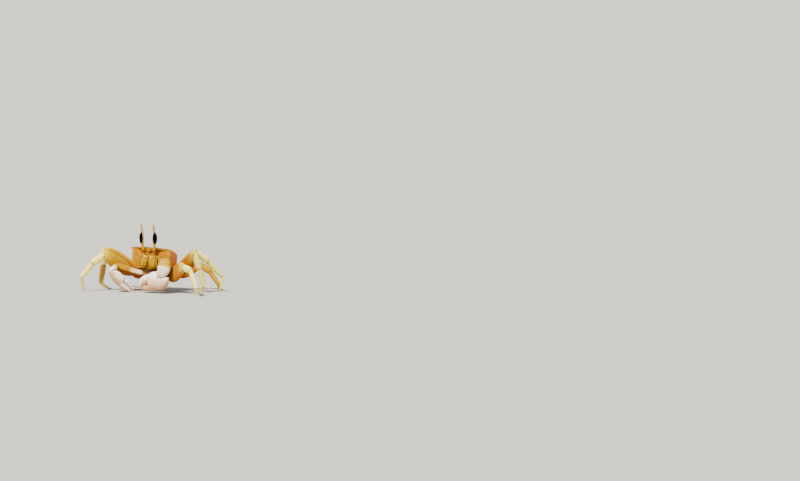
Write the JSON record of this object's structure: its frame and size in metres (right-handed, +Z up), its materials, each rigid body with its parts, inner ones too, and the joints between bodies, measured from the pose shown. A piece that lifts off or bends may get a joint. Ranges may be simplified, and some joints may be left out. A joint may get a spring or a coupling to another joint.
{
  "type": "ghost crab model",
  "caption": "Life-size still model of a horned ghost crab standing alert: boxy carapace, long eyestalks with pointed horns, one large and one small claw, long bent walking legs.",
  "frame": {"origin": "on the floor under the middle of the whole animal's bounding box", "axes": "+Z up from the floor, -Y the way the crab faces, +X towards the crab's left side, which carries the large claw"},
  "size_m": [0.1504, 0.1114, 0.0755],
  "materials": {
    "carapace_shell": "golden yellow shell, slightly glossy, darker orange towards the sides",
    "underside_shell": "pale cream underside shell, satin",
    "mouth_shell": "golden mouth plates with fine pits, satin",
    "feeler_shell": "pale horn, satin",
    "eyestalk_shell": "tan-pink stalk and horn, yellow at the foot, satin",
    "cornea": "nearly black, wet gloss",
    "claw_arm_shell": "golden arm shell, slightly glossy",
    "claw_shell": "white shell with tan-pink grains, satin",
    "leg_upper_shell": "yellow-orange shell turning cream at the knee, slightly glossy",
    "leg_lower_shell": "pale cream-yellow shell, slightly glossy"
  },
  "bodies": {
    "root": {"carapace": "carapace_shell", "sternum": "underside_shell", "abdomen": "underside_shell", "maxilliped_l": "mouth_shell", "antenna_l": "feeler_shell", "eyestalk_l": "eyestalk_shell", "cornea_l": "cornea", "maxilliped_r": "mouth_shell", "antenna_r": "feeler_shell", "eyestalk_r": "eyestalk_shell", "cornea_r": "cornea", "claw_l_merus": "claw_arm_shell", "claw_l_carpus": "claw_shell", "claw_l_palm": "claw_shell", "claw_l_dactyl": "claw_shell", "claw_r_merus": "claw_arm_shell", "claw_r_carpus": "claw_shell", "claw_r_palm": "claw_shell", "claw_r_dactyl": "claw_shell", "leg2l_merus": "leg_upper_shell", "leg2l_carpus": "leg_lower_shell", "leg2l_propodus": "leg_lower_shell", "leg2l_dactyl": "leg_lower_shell", "leg3l_merus": "leg_upper_shell", "leg3l_carpus": "leg_lower_shell", "leg3l_propodus": "leg_lower_shell", "leg3l_dactyl": "leg_lower_shell", "leg4l_merus": "leg_upper_shell", "leg4l_carpus": "leg_lower_shell", "leg4l_propodus": "leg_lower_shell", "leg4l_dactyl": "leg_lower_shell", "leg5l_merus": "leg_upper_shell", "leg5l_carpus": "leg_lower_shell", "leg5l_propodus": "leg_lower_shell", "leg5l_dactyl": "leg_lower_shell", "leg2r_merus": "leg_upper_shell", "leg2r_carpus": "leg_lower_shell", "leg2r_propodus": "leg_lower_shell", "leg2r_dactyl": "leg_lower_shell", "leg3r_merus": "leg_upper_shell", "leg3r_carpus": "leg_lower_shell", "leg3r_propodus": "leg_lower_shell", "leg3r_dactyl": "leg_lower_shell", "leg4r_merus": "leg_upper_shell", "leg4r_carpus": "leg_lower_shell", "leg4r_propodus": "leg_lower_shell", "leg4r_dactyl": "leg_lower_shell", "leg5r_merus": "leg_upper_shell", "leg5r_carpus": "leg_lower_shell", "leg5r_propodus": "leg_lower_shell", "leg5r_dactyl": "leg_lower_shell"}
  },
  "joints": []
}
